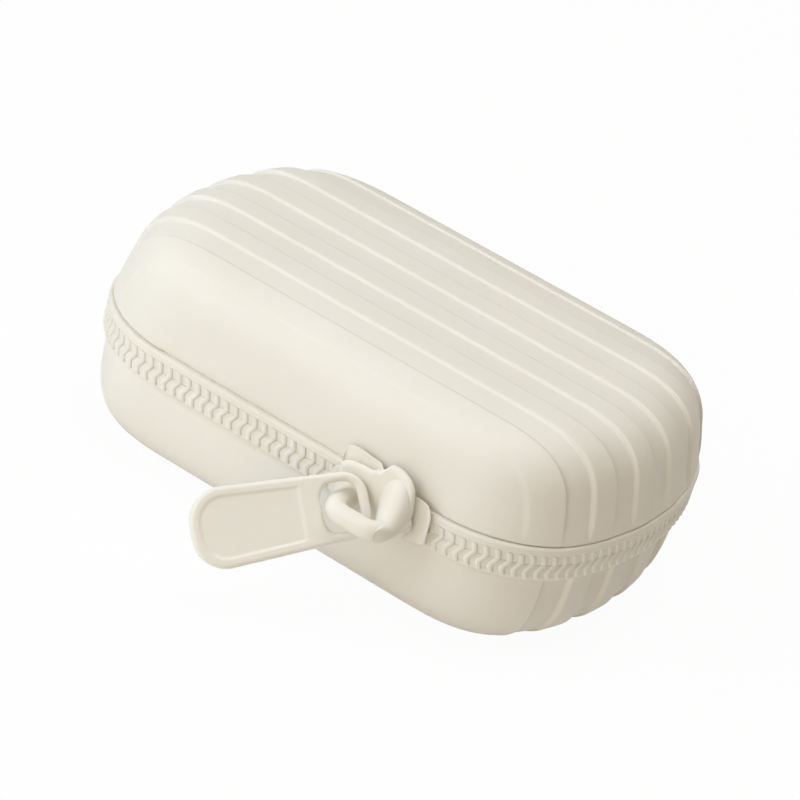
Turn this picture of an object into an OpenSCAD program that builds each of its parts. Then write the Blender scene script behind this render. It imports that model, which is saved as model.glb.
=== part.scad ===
// Travel soap box: a moulded soft case in two shells, closed by a zip that runs round its middle
// and folding open on a flexible web at the back. Millimetres, +Z up, front towards -Y.
// The origin is the middle of the flat face that the case stands on.

/* [Case] */
// Length of the case over the zip band
case_len = 120; // [100:1:150]
// Width of the case over the zip band
case_w = 78; // [74:1:100]
// Radius of the long arc that closes each end of the plan
end_r = 70; // [62:1:110]
// Radius of the four corners of the plan
corner_r = 25; // [20:0.5:28]
// Height of the lid shell above the zip band
lid_h = 19.1; // [15:0.1:26]
// Height of the base shell below the zip band
base_h = 18.1; // [17:0.1:40]
// Wall of both shells
wall = 2.2; // [1.6:0.1:2.8]

/* [Curves of the shells] */
// Fullness of the lid's crown across its width, 2 is an ellipse
crown_power = 4.3; // [2:0.1:5]
// Reach of the lid's shoulder in from its ends
lid_shoulder = 20; // [8:0.5:21]
// Fullness of the lid's shoulder
lid_power = 3.1; // [2:0.1:5]
// Reach of the base's foot in from its sides
base_shoulder = 15; // [7:0.5:16]
// Reach of the base's foot in from its ends
base_end_shoulder = 20; // [8:0.5:21]
// Fullness of the base's foot
base_power = 3.8; // [2:0.1:6]

/* [Ribs] */
// Width of each raised strip and each groove
rib_w = 5.85; // [4:0.05:6.2]
// Raised strips between the front and back of the case
rib_count = 4; // [2:2:4]
// Depth of the grooves
rib_depth = 0.8; // [0.4:0.1:1.2]
// Width of the slope between a strip and its groove
rib_slope = 0.5; // [0.2:0.1:1]

/* [Zip band] */
// Height of the whole zip band
band_h = 7.4; // [7:0.1:10]
// How far the band stands out from the shells
band_proud = 1.6; // [1.2:0.1:2.4]
// Thickness of each tape
tape_t = 1.2; // [0.8:0.1:1.6]
// Gap between the edges of the two tapes
tape_gap = 1.9; // [1.6:0.1:2.4]
// Height of the bead on the upper tape's edge
upper_bead_h = 1.6; // [1:0.1:1.8]
// Height of the bead on the lower tape's edge
lower_bead_h = 1.2; // [0.8:0.1:1.6]
// How far each bead and tooth stands out from its tape
bead_proud = 0.7; // [0.4:0.1:1]
// How far each shell's neck reaches down behind its tape
neck_lap = 1.2; // [0.8:0.1:1.4]
// Distance from one tooth to the next in a row
tooth_pitch = 2.3; // [2:0.1:3.5]
// How far a tooth's root leans to the side
tooth_lean = 0.3; // [0:0.05:0.5]
// Height of the slanting step between a tooth's root and its head
tooth_step = 0.45; // [0.3:0.05:0.5]

/* [Back hinge] */
// Length of the flexible web at the back
web_len = 56; // [30:1:60]
// Height of the web
web_h = 3.4; // [2.6:0.1:3.8]
// Length of the zip's end stops
stop_len = 3; // [2:0.5:5]

/* [Slider] */
// Where the slider stands along the front, from the middle
slider_x = 20.5; // [-22:0.5:22]
// Length of the slider along the zip
slider_len = 17; // [14:0.5:19]
// Height of the slider's front plate
slider_h = 14.2; // [11:0.1:16]
// Height of the front plate's middle above the middle of the zip
slider_rise = 2.2; // [0:0.1:3]
// Thickness of the slider's front plate with its collar
plate_t = 2.2; // [1.8:0.1:3]
// Corner radius of the slider's front plate
plate_corner_r = 3.8; // [3:0.1:5]
// Depth of the waist in the top and bottom edges of the front plate
waist_depth = 0.8; // [0.4:0.1:1.4]
// Radius of the waist
waist_r = 6; // [4:0.5:8]
// Thickness of the collar behind the front plate
collar_t = 0.7; // [0.5:0.1:1]
// How far the collar reaches past the right end of the front plate
collar_reach = 2.6; // [0:0.1:3]
// Thickness of the slider's inner plate
inner_t = 1.1; // [0.8:0.1:1.4]
// Length of the post that joins the two plates
post_len = 3.2; // [2:0.1:5]

/* [Bridge] */
// Thickness of the bridge's round bar
bar_d = 4; // [3:0.1:4.2]
// Length of the bridge along the zip, between the middles of its legs
bridge_len = 10.8; // [10.4:0.1:11.6]
// How far the bridge's outer bar stands out from the front plate
bridge_out = 7.6; // [7.2:0.1:9]
// Radius of the bridge's corners, to the middle of the bar
bridge_corner_r = 3.2; // [2.6:0.1:3.6]
// How far the middle of the bridge lies to the right of the slider's middle
bridge_shift = 1.1; // [0:0.1:2]

/* [Pull tab] */
// Length of the tab from the middle of its eye to its free end
tab_len = 28.3; // [20:0.5:34]
// Width of the tab at its free end
tab_w = 15.3; // [13.6:0.1:18]
// Corner radius of the free end
tab_corner_r = 6.5; // [4:0.1:6.7]
// Width of the tab across its eye
eye_w = 12.8; // [12.6:0.1:15]
// How far the eye's rounded end reaches past its middle
eye_reach = 5.4; // [5:0.1:7]
// Corner radius of the eye's end
eye_corner_r = 4.8; // [3:0.1:4.9]
// Size of the eye's hole along the tab
eye_hole_len = 7.2; // [7:0.1:7.6]
// Size of the eye's hole across the tab
eye_hole_w = 9.4; // [9:0.1:9.8]
// Corner radius of the eye's hole
eye_hole_r = 3.2; // [2.5:0.1:3.4]
// Thickness of the tab
tab_t = 2.4; // [1.6:0.1:2.5]
// Width of the raised rim round the panel
tab_rim = 1.9; // [1.2:0.1:3]
// Depth of the sunk panel on each face
panel_depth = 0.45; // [0.2:0.05:0.6]
// Direction of the tab seen from above, degrees from +X
tab_yaw = -132; // [-134:1:-130]
// Droop of the tab, degrees
tab_droop = 18; // [16:1:20]
// Roll of the tab about its length, degrees
tab_roll = -52.5; // [-54:0.5:-51]

/* [Hidden] */
$fn = 96;
clearance = 0.3;       // between faces that move past each other
seat_gap = 0.03;       // between faces that only rest on each other across the hinge
tooth_gap = 0.15;      // between neighbouring teeth of the two rows
eye_shift = [0.3, 1.2, 0]; // from the middle of the bridge's left bend to the middle of the eye
post_gap = 0.3;        // between the post and the tapes' edges
layer_step = 0.9;      // setback of the front plate's raised face
collar_corner_r = 2.6;  // corners of the slider's collar
head_gap = 0.1;        // between a tooth's head and the edge of the other tape
corner_steps = 18;     // flats along each corner arc of the zip tapes
end_steps = 22;        // flats along each long end arc of the zip tapes
far = 300;             // larger than the case, for cutting shapes
side_rows = 9;         // rows of shell points round each corner of the plan
shoulder_cols = 11;    // columns of shell points on each end shoulder

half_len = case_len / 2;
half_w = case_w / 2;

// Plan: long end arcs about (+-end_cx, 0), corner arcs about (+-corner_cx, +-corner_cy), straight sides
corner_cy = half_w - corner_r;
end_cx = half_len - end_r;
corner_cx = end_cx + sqrt(pow(end_r - corner_r, 2) - pow(corner_cy, 2));
end_half_angle = asin(corner_cy / (end_r - corner_r));
corner_angle = 90 - end_half_angle;

// Levels
band_bottom = base_h;
band_top = base_h + band_h;
chain_z = band_bottom + band_h / 2;

// Depths inwards from the band's outer face
tape_face = bead_proud;
tape_back = tape_face + tape_t;
shell_face = band_proud;

// Slider, in depths from the band's outer face (negative is outwards)
plate_back = -clearance;
plate_front = plate_back - plate_t;
inner_face = tape_back + clearance / 2;
rim_gap = band_h - 2 * neck_lap;
inner_h = rim_gap - 2 * clearance;
post_h = tape_gap - 2 * post_gap;

// Bridge: an arch that lies level at the height of the zip, with its outer bar along X.
// bend is the middle of its left corner, where the tab hangs.
bridge_x = slider_x + bridge_shift;
bridge_y = -half_w + plate_front - bridge_out;
corner_dip = bridge_corner_r * (1 - cos(45));
bend = [bridge_x - bridge_len / 2 + corner_dip, bridge_y + corner_dip, chain_z];

// Teeth: the arc length of the zip from the middle of the front round to the web
arc_corner = corner_r * corner_angle * PI / 180;
arc_end = end_r * 2 * end_half_angle * PI / 180;
stop_x = web_len / 2 + stop_len + clearance;
zip_reach = 2 * corner_cx + 2 * arc_corner + arc_end - stop_x;
teeth_each_way = floor((zip_reach - tooth_pitch) / tooth_pitch);
tooth_w = tooth_pitch / 2 - tooth_gap;
tooth_top = band_top - upper_bead_h - tooth_gap;
tooth_bottom = band_bottom + lower_bead_h + tooth_gap;
tooth_cross = tape_gap / 2 - head_gap;
step_near = tooth_cross + tooth_gap;
step_far = step_near + tooth_step;

ivory = [0.93, 0.91, 0.85];
ivory_shade = [0.90, 0.88, 0.81];
ivory_warm = [0.92, 0.89, 0.81];

// Point on the band's outer line at arc length s from the middle of the front, as [x, y, turn]
function arc_point(cx, cy, r, angle) = [cx + r * cos(angle), cy + r * sin(angle), angle + 90];
function right_point(s) =
    s < corner_cx ? [s, -half_w, 0] :
    s < corner_cx + arc_corner ?
        arc_point(corner_cx, -corner_cy, corner_r, -90 + (s - corner_cx) / corner_r * 180 / PI) :
    s < corner_cx + arc_corner + arc_end ?
        arc_point(end_cx, 0, end_r, -end_half_angle + (s - corner_cx - arc_corner) / end_r * 180 / PI) :
    s < corner_cx + 2 * arc_corner + arc_end ?
        arc_point(corner_cx, corner_cy, corner_r,
                  end_half_angle + (s - corner_cx - arc_corner - arc_end) / corner_r * 180 / PI) :
    [2 * corner_cx + 2 * arc_corner + arc_end - s, half_w, 180];
function band_point(s) = s >= 0 ? right_point(s) :
    let (p = right_point(-s)) [-p[0], p[1], -p[2]];

// Half length of the plan at y, set in by inset from the band's outer line
function plan_x(y, inset) =
    abs(y) <= corner_cy * (end_r - inset) / (end_r - corner_r) ?
        end_cx + sqrt(pow(end_r - inset, 2) - y * y) :
        corner_cx + sqrt(max(0, pow(corner_r - inset, 2) - pow(abs(y) - corner_cy, 2)));

// Points of an arc about (cx, cy) from angle a0 to a1, in steps
function arc_points(cx, cy, r, a0, a1, steps) =
    [for (k = [0 : steps]) let (a = a0 + (a1 - a0) * k / steps) [cx + r * cos(a), cy + r * sin(a)]];

// Right half of the plan outline, set in by inset: corner arc, long end arc, corner arc
function right_outline(inset) = concat(
    arc_points(corner_cx, -corner_cy, corner_r - inset, -90, -end_half_angle, corner_steps),
    [for (k = [1 : end_steps - 1])
        let (a = end_half_angle * (2 * k / end_steps - 1))
        [end_cx + (end_r - inset) * cos(a), (end_r - inset) * sin(a)]],
    arc_points(corner_cx, corner_cy, corner_r - inset, end_half_angle, 90, corner_steps)
);

module plan(inset) {
    right = right_outline(inset);
    polygon(concat(right, [for (p = right) -p]));
}

// The shells are grids of points. A row runs along X at one y; a column crosses the rows.
// Rows first step round the plan's corner, then lie on both sides of each edge of a strip.
last_edge = 2 * rib_count + 1;
edge_rows = 2 * (last_edge + 1);
rows = edge_rows + 2 * side_rows;
cols = 2 * shoulder_cols + 3;
strip_reach = (rib_count + 0.5) * rib_w + rib_slope / 2;

function edge_of(j) = floor((j - side_rows) / 2);
function after_edge(j) = (j - side_rows) % 2;
function in_side(j) = j < side_rows || j >= rows - side_rows;

// Depth of the groove at row j as 0 or 1: strips and grooves change over at every edge
function groove(j) = in_side(j) ? 0 : (edge_of(j) + after_edge(j)) % 2;

// y on the corner arc, at fraction f of the way from the outermost strip to the plain side
function corner_y(f, inset) =
    let (start = asin((strip_reach - corner_cy) / (corner_r - inset)))
    corner_cy + (corner_r - inset) * sin(start + (90 - start) * f);

function row_y(j, inset) =
    j < side_rows ? -corner_y((side_rows - j) / side_rows, inset) :
    j >= rows - side_rows ? corner_y((j - rows + side_rows + 1) / side_rows, inset) :
    (edge_of(j) - last_edge / 2) * rib_w + (after_edge(j) - 0.5) * rib_slope;

// Share of the shoulder's angle at column i, and the side of the case that the column is on
function col_angle(i) = 90 * min(1, min(i, cols - 1 - i) / shoulder_cols);
function col_side(i) = i < (cols - 1) / 2 ? -1 : i > (cols - 1) / 2 ? 1 : 0;

// Height reached at fraction t of a shoulder's reach: a superellipse
function rise(t, power) = pow(1 - pow(1 - min(1, max(0, t)), power), 1 / power);

// Point of a shell surface. The curves are [side reach, side power, end reach, end power].
function shell_point(j, i, inset, h, curves) =
    let (
        y = row_y(j, inset),
        angle = col_angle(i),
        half = plan_x(y, inset) - groove(j) * rib_depth,
        top = h * rise((half_w - inset - abs(y)) / curves[0], curves[1]),
        x = half - curves[2] * (1 - pow(cos(angle), 2 / curves[3]))
    )
    [col_side(i) * x, y, top * pow(sin(angle), 2 / curves[3])];

function skin_points(inset, h, sink, curves) =
    [for (j = [0 : rows - 1], i = [0 : cols - 1])
        shell_point(j, i, inset, h - sink * groove(j), curves)];

// Row and column of every point round the edge of the grid, in order
edge_cells = concat(
    [for (i = [0 : cols - 1]) [0, i]],
    [for (j = [1 : rows - 1]) [j, cols - 1]],
    [for (i = [cols - 2 : -1 : 0]) [rows - 1, i]],
    [for (j = [rows - 2 : -1 : 1]) [j, 0]]
);

// A level loop of points round the plan, matching the edge of the grid
function loop(inset, z, curves) =
    [for (c = edge_cells)
        let (y = row_y(c[0], inset), angle = col_angle(c[1]))
        [col_side(c[1]) * (plan_x(y, inset) - curves[2] * (1 - pow(cos(angle), 2 / curves[3]))), y, z]];

function two_triangles(a, b, c, d) = [[a, c, b], [a, d, c]];
function grid_faces(start, flip) =
    [for (j = [0 : rows - 2], i = [0 : cols - 2])
        let (a = start + j * cols + i)
        each flip ? two_triangles(a, a + 1, a + cols + 1, a + cols) :
            two_triangles(a, a + cols, a + cols + 1, a + 1)];
function band_faces(from, to) =
    [for (k = [0 : len(from) - 1])
        let (n = (k + 1) % len(from))
        each two_triangles(from[k], from[n], to[n], to[k])];

// A shell that rises h from level 0, with a neck below level 0 that laps behind the tape.
// The curves of its outside and inside are given apart; sink is the groove's depth on top.
module shell(h, outer_curves, inner_curves, outer_sink) {
    n = rows * cols;
    m = len(edge_cells);
    neck_face = tape_back + seat_gap;
    neck_back = tape_back + wall;
    outer_edge = [for (c = edge_cells) c[0] * cols + c[1]];
    inner_edge = [for (c = edge_cells) n + c[0] * cols + c[1]];
    loops = [for (k = [0 : 2]) [for (q = [0 : m - 1]) 2 * n + k * m + q]];
    polyhedron(
        points = concat(
            skin_points(shell_face, h, outer_sink, outer_curves),
            skin_points(shell_face + wall, h - wall, rib_depth, inner_curves),
            loop(neck_face, 0, outer_curves),
            loop(neck_face, -neck_lap, outer_curves),
            loop(neck_back, -neck_lap, outer_curves)
        ),
        faces = concat(
            grid_faces(0, false), grid_faces(n, true),
            band_faces(outer_edge, loops[0]), band_faces(loops[0], loops[1]),
            band_faces(loops[1], loops[2]), band_faces(loops[2], inner_edge)
        )
    );
}

// Tape with a bead along its outer edge, hanging from level 0
module tape(bead_h) {
    reach = (band_h - tape_gap) / 2;
    difference() {
        union() {
            translate([0, 0, -reach]) linear_extrude(reach) plan(tape_face);
            translate([0, 0, -bead_h]) linear_extrude(bead_h) plan(0);
        }
        translate([0, 0, -band_h]) linear_extrude(2 * band_h) plan(tape_back);
    }
}

// One tooth on the front of a tape, at the level of the middle line: an S from its root, which
// leans to one side, to its head, which is shifted to the other. way is 1 on the upper row.
module tooth(root, head, way) {
    line = [[-tooth_lean, root], [0, step_far], [tooth_pitch / 4, step_near], [tooth_pitch / 4, head]];
    left = [for (p = line) way * (p - [tooth_w / 2, 0])];
    right = [for (k = [3 : -1 : 0]) way * (line[k] + [tooth_w / 2, 0])];
    rotate([90, 0, 0]) linear_extrude(bead_proud) polygon(concat(left, right));
}

// A row of teeth; root is the distance of the roots from the middle line.
// The heads stop short where the slider's post parts the two rows.
module tooth_row(root, way) {
    for (k = [-teeth_each_way : teeth_each_way]) {
        s = k * tooth_pitch;
        p = band_point(s);
        parted = abs(s - slider_x) < post_len / 2 + tooth_pitch;
        head = parted ? post_h / 2 + clearance : -tooth_cross;
        translate([p[0], p[1], chain_z])
            rotate([0, 0, p[2]])
                translate([0, tape_face, 0])
                    tooth(root, head, way);
    }
}

module end_stop(low_z, high_z) {
    for (side = [-1, 1])
        translate([side * (web_len / 2 + clearance + stop_len / 2) - stop_len / 2, half_w - tape_face, low_z])
            cube([stop_len, bead_proud, high_z - low_z]);
}

// Lower shell
module base_shell() {
    color(ivory)
        translate([0, 0, band_bottom])
            mirror([0, 0, 1])
                shell(base_h, [base_shoulder, base_power, base_end_shoulder, base_power],
                      [base_shoulder - wall, base_power, base_end_shoulder - wall, base_power], 0);
}

// Upper shell
module lid_shell() {
    w = half_w - shell_face;
    color(ivory)
        translate([0, 0, band_top])
            shell(lid_h, [w, crown_power, lid_shoulder, lid_power],
                  [w - wall, crown_power, lid_shoulder - wall, lid_power], rib_depth);
}

module base_tape() {
    color(ivory_shade)
        translate([0, 0, band_bottom])
            mirror([0, 0, 1]) tape(lower_bead_h);
}

module lid_tape() {
    color(ivory_shade)
        translate([0, 0, band_top]) tape(upper_bead_h);
}

module base_teeth() {
    color(ivory_warm) tooth_row(chain_z - tooth_bottom, -1);
}

module lid_teeth() {
    color(ivory_warm) tooth_row(tooth_top - chain_z, 1);
}

// The zip's end stops, halved at the hinge's level
module base_end_stops() {
    color(ivory_warm) end_stop(tooth_bottom, chain_z - seat_gap);
}

module lid_end_stops() {
    color(ivory_warm) end_stop(chain_z + seat_gap, tooth_top);
}

// Thin web that joins the two tapes at the back and folds when the case opens
module hinge_web() {
    color(ivory)
        translate([-web_len / 2, half_w - tape_face + seat_gap, chain_z - web_h / 2])
            cube([web_len, bead_proud - seat_gap, web_h]);
}

// A rectangle with round corners, from its size and corner radius
module rounded_plate(size, r) {
    square([size[0] - 2 * r, size[1]], center = true);
    square([size[0], size[1] - 2 * r], center = true);
    for (x = [-1, 1], y = [-1, 1])
        translate([x * (size[0] / 2 - r), y * (size[1] / 2 - r)]) circle(r);
}

// Outline of the slider's front plate, set in by inset, with its waist at the top and bottom
module plate_outline(inset) {
    difference() {
        rounded_plate([slider_len - 2 * inset, slider_h - 2 * inset], plate_corner_r - inset);
        for (side = [-1, 1])
            translate([0, side * (slider_h / 2 + waist_r - waist_depth)]) circle(waist_r + inset);
    }
}

// Puts a drawing of the front, in X and Z, at a depth from the band's outer line
module at_depth(outer, inner, shift = [0, 0]) {
    translate([slider_x + shift[0], -half_w + inner, chain_z + shift[1]])
        rotate([90, 0, 0])
            linear_extrude(inner - outer) children();
}

// Slider: collar, front plate, inner plate and the post between them
module slider_body() {
    up = [0, slider_rise];
    collar_front = plate_back - collar_t;
    color(ivory_warm)
        union() {
            at_depth(collar_front, plate_back, [collar_reach / 2, 0])
                rounded_plate([slider_len + collar_reach, band_h], collar_corner_r);
            at_depth(plate_front + layer_step, plate_back, up) plate_outline(0);
            at_depth(plate_front, plate_back, up) plate_outline(layer_step);
            at_depth(plate_back - plate_t / 2, inner_face + inner_t / 2) square([post_len, post_h], center = true);
            at_depth(inner_face, inner_face + inner_t) square([slider_len - 2 * layer_step, inner_h], center = true);
        }
}

// Bridge: a round bar bent into an arch, standing out from the front plate
module bridge_bars() {
    r = bridge_corner_r;
    reach = bridge_out - r + bar_d;
    translate([bridge_x, bridge_y, chain_z]) {
        rotate([0, 90, 0]) cylinder(h = bridge_len - 2 * r, d = bar_d, center = true);
        for (side = [0, 1]) mirror([side, 0, 0]) {
            translate([bridge_len / 2 - r, r, 0])
                rotate([0, 0, -90]) rotate_extrude(angle = 90) translate([r, 0]) circle(d = bar_d);
            translate([bridge_len / 2, r, 0]) rotate([-90, 0, 0]) cylinder(h = reach, d = bar_d);
        }
    }
}

module slider_bridge() {
    color(ivory_warm)
        intersection() {
            bridge_bars();
            translate([-far / 2, -half_w + plate_front - far, 0]) cube([far, far, far]);
        }
}

// Outline of the tab, eye at the origin and free end towards +X, set in by inset:
// two corner arcs at the free end and two at the eye, joined by their tangents
module tab_outline(inset) {
    eye = [eye_corner_r - eye_reach, eye_w / 2 - eye_corner_r];
    end = [tab_len - tab_corner_r, tab_w / 2 - tab_corner_r];
    run = end - eye;
    slope = atan2(run[1], run[0]) + asin((tab_corner_r - eye_corner_r) / norm(run));
    upper = concat(
        arc_points(end[0], end[1], tab_corner_r - inset, 0, 90 + slope, corner_steps),
        arc_points(eye[0], eye[1], eye_corner_r - inset, 90 + slope, 180, corner_steps)
    );
    polygon(concat(upper, [for (k = [len(upper) - 1 : -1 : 0]) [upper[k][0], -upper[k][1]]]));
}

// The sunk panel: the tab's outline set in, kept clear of the eye
module panel_outline() {
    start = eye_hole_len / 2 + 2 * tab_rim;
    intersection() {
        tab_outline(tab_rim);
        translate([start, -far / 2]) square([far, far]);
    }
}

// Pull tab: a flat paddle whose eye hangs round the left bend of the bridge
module pull_tab() {
    color(ivory)
        translate(bend + eye_shift)
            rotate([0, 0, tab_yaw])
                rotate([0, tab_droop, 0])
                    rotate([tab_roll, 0, 0])
                        translate([0, 0, -tab_t / 2])
                            difference() {
                                linear_extrude(tab_t) tab_outline(0);
                                translate([0, 0, -tab_t])
                                    linear_extrude(3 * tab_t)
                                        rounded_plate([eye_hole_len, eye_hole_w], eye_hole_r);
                                translate([0, 0, tab_t - panel_depth])
                                    linear_extrude(tab_t) panel_outline();
                                translate([0, 0, panel_depth - tab_t])
                                    linear_extrude(tab_t) panel_outline();
                            }
}

base_shell();
base_tape();
base_teeth();
base_end_stops();
hinge_web();
lid_shell();
lid_tape();
lid_teeth();
lid_end_stops();
slider_body();
slider_bridge();
pull_tab();
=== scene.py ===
import math

import bpy
import numpy as np
from mathutils import Matrix, Vector


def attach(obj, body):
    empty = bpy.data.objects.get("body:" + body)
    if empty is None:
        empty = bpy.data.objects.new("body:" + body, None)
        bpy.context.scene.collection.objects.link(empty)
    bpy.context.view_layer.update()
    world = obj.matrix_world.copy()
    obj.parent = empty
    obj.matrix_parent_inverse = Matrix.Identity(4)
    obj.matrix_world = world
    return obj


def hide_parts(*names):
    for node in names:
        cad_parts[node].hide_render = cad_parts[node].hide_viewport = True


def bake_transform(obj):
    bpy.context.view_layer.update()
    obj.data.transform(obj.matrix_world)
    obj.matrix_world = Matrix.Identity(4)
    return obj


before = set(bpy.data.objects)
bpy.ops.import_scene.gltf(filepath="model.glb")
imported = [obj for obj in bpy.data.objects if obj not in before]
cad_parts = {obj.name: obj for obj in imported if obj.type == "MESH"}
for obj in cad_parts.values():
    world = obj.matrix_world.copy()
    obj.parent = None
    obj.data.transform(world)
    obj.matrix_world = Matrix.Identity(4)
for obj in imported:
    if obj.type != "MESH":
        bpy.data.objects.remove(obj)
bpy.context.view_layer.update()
scene = bpy.context.scene
MM = 0.001

# Sizes in millimetres, as in the part's source
HALF_LEN, HALF_W = 60.0, 39.0
END_R, CORNER_R = 70.0, 25.0
LID_H, BASE_H, WALL = 19.1, 18.1, 2.2
CROWN_POWER, LID_REACH, LID_POWER = 4.3, 20.0, 3.1
FOOT_REACH, FOOT_END_REACH, FOOT_POWER = 15.0, 20.0, 3.8
RIB_W, RIB_DEPTH, RIB_SLOPE = 5.85, 0.8, 0.8
BAND_BOTTOM, BAND_TOP, MIDDLE_Z = 18.1, 25.5, 21.8
SHELL_FACE, TAPE_FACE, TAPE_BACK = 1.6, 0.7, 1.9
NECK_LAP = 1.2
UPPER_TAPE_EDGE, UPPER_BEAD_EDGE = 22.75, 23.9
LOWER_TAPE_EDGE, LOWER_BEAD_EDGE = 20.85, 19.3
PITCH = 2.3
WEB_LEN, STOP_LEN = 56.0, 3.0
SLIDER_X, SLIDER_LEN, SLIDER_H, SLIDER_RISE = 20.5, 17.0, 14.2, 2.2
BAR_D, ARCH_LEN, ARCH_OUT, ARCH_R, ARCH_X = 4.0, 10.8, 7.6, 3.2, 21.6
PLATE_FACE = -HALF_W - 2.5
TAB_LEN, TAB_W, TAB_R, TAB_T, TAB_RIM = 28.3, 15.3, 6.5, 2.4, 1.9
EYE_W, EYE_REACH, EYE_R = 12.8, 5.4, 4.8
HOLE_LEN, HOLE_W = 7.2, 9.4
TAB_YAW, TAB_DROOP, TAB_ROLL = -132.0, 18.0, -52.5

# Details that only this script has, in millimetres: the air under the lid's rim, the rim's curl
# and swell, the grooves on the lid's top, the lower bead's face behind the upper one's, the
# teeth's section, and the tab's panel and edge. SIDE_GROOVE is the outermost line's share of a
# groove's depth.
LIFT = 0.03
RIM_CURL, RIM_SWELL, SWELL_H = 0.45, 1.1, 9.0
TOP_GROOVE, SIDE_GROOVE = 0.45, 0.4
LOWER_BEAD_FACE = 0.46
TOOTH_HALF_W, TOOTH_BACK, TEETH_FACE = 0.53, 0.43, 0.4
PANEL_DEPTH, TAB_EDGE = 0.26, 0.85

# The tab's eye hangs round the arch's left bend, which cuts its square corner by DIP at 45 degrees
DIP = ARCH_R * (1 - math.cos(math.pi / 4))
EYE = (ARCH_X - ARCH_LEN / 2 + DIP + 0.3, PLATE_FACE - ARCH_OUT + DIP + 1.2, MIDDLE_Z)

# Centres and arcs of the plan outline, and how far to the side the strips and the last line lie
CORNER_CY = HALF_W - CORNER_R
END_CX = HALF_LEN - END_R
CORNER_CX = END_CX + math.sqrt((END_R - CORNER_R) ** 2 - CORNER_CY ** 2)
END_ANGLE = math.asin(CORNER_CY / (END_R - CORNER_R))
STRIP_REACH = 4.5 * RIB_W + RIB_SLOPE / 2
OUTER_EDGE = 5.5 * RIB_W
ARC_CORNER = CORNER_R * (math.pi / 2 - END_ANGLE)
ARC_END = END_R * 2 * END_ANGLE
HALF_ROUND = 2 * CORNER_CX + 2 * ARC_CORNER + ARC_END


def smoothstep(x, low, high):
    """0 below low, 1 above high, and 3t^2 - 2t^3 between them."""
    t = np.clip((np.asarray(x, float) - low) / (high - low), 0, 1)
    return t * t * (3 - 2 * t)


def turns(count):
    """Angles of count points evenly round a circle."""
    return np.linspace(0, 2 * math.pi, count, endpoint=False)


def quads(rows, cols, wrap_rows=False, wrap_cols=False, start=0):
    """Four-cornered faces of a grid of rows times cols points, closed in either direction."""
    j = np.arange(rows if wrap_rows else rows - 1)
    i = np.arange(cols if wrap_cols else cols - 1)
    j, i = np.meshgrid(j, i, indexing="ij")
    j2, i2 = (j + 1) % rows, (i + 1) % cols
    f = np.stack([j * cols + i, j * cols + i2, j2 * cols + i2, j2 * cols + i], -1)
    return f.reshape(-1, 4) + start


def end_fans(rows, cols):
    """Faces that close the first and the last ring of a closed grid: fans of four-cornered faces
    from each ring's first point."""
    k = np.arange(1, cols - 2, 2)
    fan = np.stack([np.zeros_like(k), k, k + 1, k + 2], 1)
    return [fan[:, ::-1], fan + (rows - 1) * cols]


def facing_out(points, faces):
    """The faces, turned over if the signed volume that they enclose is negative."""
    p = points[faces]
    volume = np.einsum("ij,ij->i", p[:, 0], np.cross(p[:, 1], p[:, 2])).sum()
    volume += np.einsum("ij,ij->i", p[:, 0], np.cross(p[:, 2], p[:, 3])).sum()
    return faces if volume > 0 else faces[:, ::-1]


def joined(*parts):
    """Several closed meshes as one, each turned to face out."""
    points, faces, start = [], [], 0
    for p, f in parts:
        faces.append(facing_out(p, f) + start)
        points.append(p)
        start += len(p)
    return np.concatenate(points), np.concatenate(faces)


def piece(name, points, faces, material, sharp=None):
    """A smooth-shaded object from points in millimetres and four-cornered faces."""
    points = np.asarray(points, float)
    faces = facing_out(points, np.asarray(faces))
    mesh = bpy.data.meshes.new(name)
    mesh.vertices.add(len(points))
    mesh.vertices.foreach_set("co", (points * MM).ravel())
    mesh.loops.add(faces.size)
    mesh.loops.foreach_set("vertex_index", faces.ravel().astype(np.int32))
    mesh.polygons.add(len(faces))
    mesh.polygons.foreach_set("loop_start", np.arange(0, faces.size, 4, dtype=np.int32))
    mesh.polygons.foreach_set("use_smooth", np.ones(len(faces), bool))
    mesh.update(calc_edges=True)
    mesh.validate()
    if sharp:
        mesh.set_sharp_from_angle(angle=math.radians(sharp))
    mesh.materials.append(material)
    obj = bpy.data.objects.new(name, mesh)
    scene.collection.objects.link(obj)
    return obj


def plan_x(y, inset):
    """Half length of the plan at y: the long end arc near the middle, the corner arc beyond it."""
    y = np.abs(np.asarray(y, float))
    end_r, corner_r = END_R - inset, CORNER_R - inset
    end = END_CX + np.sqrt(np.maximum(end_r ** 2 - y * y, 0))
    corner = CORNER_CX + np.sqrt(np.maximum(corner_r ** 2 - (y - CORNER_CY) ** 2, 0))
    return np.where(y <= CORNER_CY * end_r / (END_R - CORNER_R), end, corner)


def outline(inset):
    """Plan outline as points [x, y]: corner arc, long end arc, corner arc, then the same turned
    half round."""
    r, e = CORNER_R - inset, END_R - inset
    a = np.linspace(-math.pi / 2, -END_ANGLE, 28)
    b = np.linspace(-END_ANGLE, END_ANGLE, 40)[1:-1]
    c = np.linspace(END_ANGLE, math.pi / 2, 28)
    right = np.concatenate([
        np.stack([CORNER_CX + r * np.cos(a), -CORNER_CY + r * np.sin(a)], 1),
        np.stack([END_CX + e * np.cos(b), e * np.sin(b)], 1),
        np.stack([CORNER_CX + r * np.cos(c), CORNER_CY + r * np.sin(c)], 1),
    ])
    return np.concatenate([right, -right])


def rise(t, power):
    """Height at fraction t of a shoulder: (1 - (1 - t)^power)^(1 / power)."""
    return (1 - (1 - np.clip(t, 0, 1)) ** power) ** (1 / power)


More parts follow.
